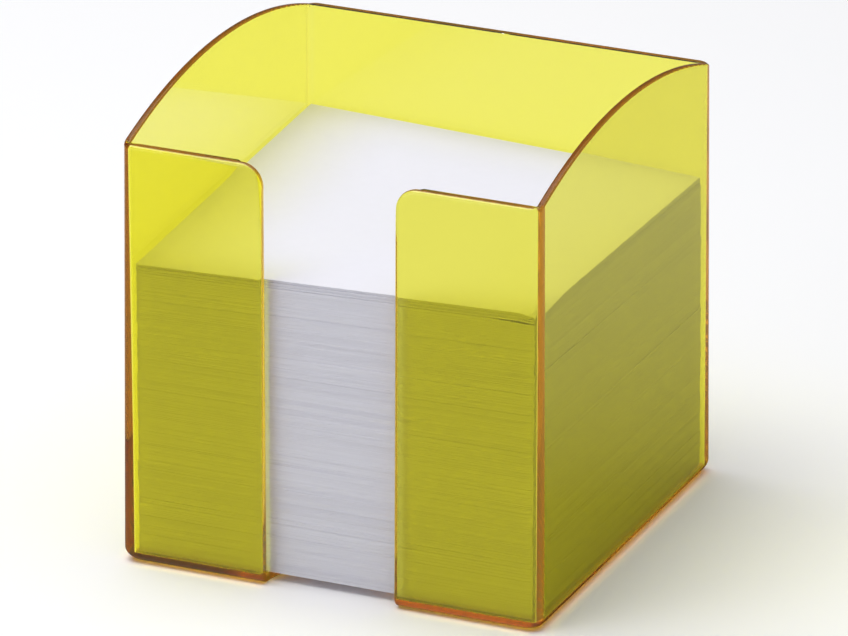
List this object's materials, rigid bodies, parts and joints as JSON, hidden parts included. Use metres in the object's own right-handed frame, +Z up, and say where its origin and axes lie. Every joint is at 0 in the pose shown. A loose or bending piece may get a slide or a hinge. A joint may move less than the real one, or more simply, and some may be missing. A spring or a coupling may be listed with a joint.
{
  "type": "note paper box",
  "caption": "Open-topped clear yellow plastic box with arched side walls and a front finger slot, holding a stack of loose square note paper.",
  "frame": {"origin": "middle of the box's footprint, on the surface it stands on", "axes": "+Z up, the wall with the finger slot faces -Y, +X to the right seen from the front"},
  "size_m": [0.0966, 0.0972, 0.1025],
  "materials": {
    "clear_yellow_plastic": "clear, glossy, dyed in the mass",
    "note_paper": "matt, uncoated, cut edges"
  },
  "bodies": {
    "box": {"box_shell": "clear_yellow_plastic"},
    "note_stack": {"notes_run_01": "note_paper", "notes_run_02": "note_paper", "notes_run_03": "note_paper", "notes_run_04": "note_paper", "notes_run_05": "note_paper", "notes_run_06": "note_paper", "notes_run_07": "note_paper", "notes_run_08": "note_paper", "notes_run_09": "note_paper", "notes_run_10": "note_paper", "notes_run_11": "note_paper", "notes_run_12": "note_paper", "notes_run_13": "note_paper", "notes_run_14": "note_paper", "notes_run_15": "note_paper", "notes_run_16": "note_paper"},
    "loose_notes": {"loose_notes_01": "note_paper", "loose_notes_02": "note_paper", "loose_notes_03": "note_paper", "loose_sheet_01": "note_paper", "loose_sheet_02": "note_paper"},
    "top_note": {"top_sheet": "note_paper"}
  },
  "joints": [
    {"name": "stack_lift", "type": "slide", "parent": "box", "child": "note_stack", "axis": [0, 0, 1], "range_m": [0, 0.112]},
    {"name": "loose_notes_lift", "type": "slide", "parent": "note_stack", "child": "loose_notes", "axis": [0, 0, 1], "range_m": [0, 0.045]},
    {"name": "top_sheet_lift", "type": "slide", "parent": "loose_notes", "child": "top_note", "axis": [0, 0, 1], "range_m": [0, 0.04]}
  ]
}
